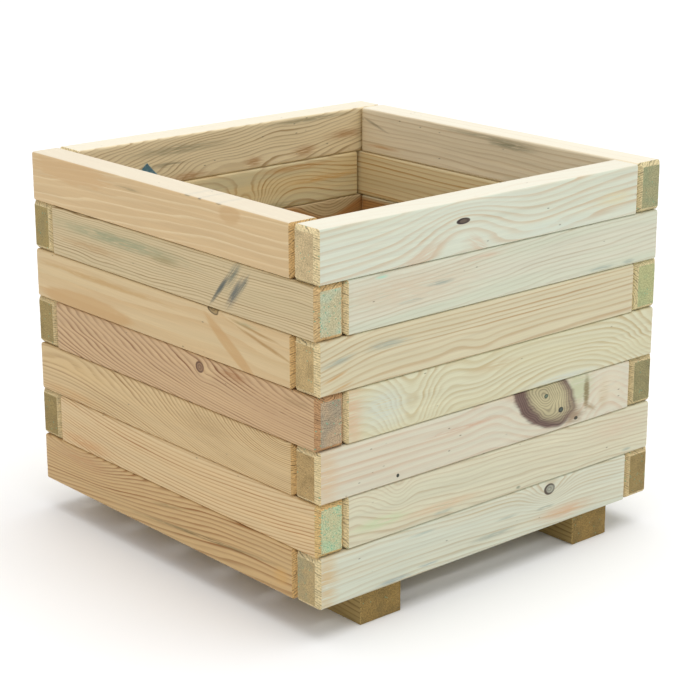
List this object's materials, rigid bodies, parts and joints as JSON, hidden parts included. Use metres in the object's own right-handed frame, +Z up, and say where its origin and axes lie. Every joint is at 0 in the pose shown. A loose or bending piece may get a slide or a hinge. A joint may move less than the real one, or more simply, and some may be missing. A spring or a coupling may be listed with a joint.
{
  "type": "planter box",
  "caption": "Square wooden planter box of stacked boards with interlocking corners, an open top, a slatted floor and runners underneath.",
  "frame": {"origin": "on the ground, under the middle of the box", "axes": "+Z up; +X to the right and +Y to the back when the box is seen from its front; the runners lie along Y"},
  "size_m": [0.624, 0.624, 0.535],
  "materials": {
    "wall_pine": "planed, pressure-treated pine",
    "runner_pine": "planed, treated pine, darker",
    "slat_pine": "planed, pressure-treated pine",
    "zinc_steel": "zinc plated",
    "blue_plastic": "thin matt sheet"
  },
  "bodies": {
    "root": {"front_board_1": "wall_pine", "right_board_1": "wall_pine", "back_board_1": "wall_pine", "left_board_1": "wall_pine", "front_board_2": "wall_pine", "right_board_2": "wall_pine", "back_board_2": "wall_pine", "left_board_2": "wall_pine", "front_board_3": "wall_pine", "right_board_3": "wall_pine", "back_board_3": "wall_pine", "left_board_3": "wall_pine", "front_board_4": "wall_pine", "right_board_4": "wall_pine", "back_board_4": "wall_pine", "left_board_4": "wall_pine", "front_board_5": "wall_pine", "right_board_5": "wall_pine", "back_board_5": "wall_pine", "left_board_5": "wall_pine", "front_board_6": "wall_pine", "right_board_6": "wall_pine", "back_board_6": "wall_pine", "left_board_6": "wall_pine", "front_board_7": "wall_pine", "right_board_7": "wall_pine", "back_board_7": "wall_pine", "left_board_7": "wall_pine", "left_runner": "runner_pine", "right_runner": "runner_pine", "floor_slat_1": "slat_pine", "floor_slat_2": "slat_pine", "floor_slat_3": "slat_pine", "floor_slat_4": "slat_pine", "floor_slat_5": "slat_pine", "corner_screw_front_left_lower": "zinc_steel", "corner_screw_front_left_middle": "zinc_steel", "corner_screw_front_left_upper": "zinc_steel", "corner_screw_front_right_lower": "zinc_steel", "corner_screw_front_right_middle": "zinc_steel", "corner_screw_front_right_upper": "zinc_steel", "corner_screw_back_right_lower": "zinc_steel", "corner_screw_back_right_middle": "zinc_steel", "corner_screw_back_right_upper": "zinc_steel", "corner_screw_back_left_lower": "zinc_steel", "corner_screw_back_left_middle": "zinc_steel", "corner_screw_back_left_upper": "zinc_steel", "runner_screw_left_front": "zinc_steel", "runner_screw_left_back": "zinc_steel", "runner_screw_right_front": "zinc_steel", "runner_screw_right_back": "zinc_steel", "blue_tag": "blue_plastic", "tag_staple": "zinc_steel"}
  },
  "joints": []
}
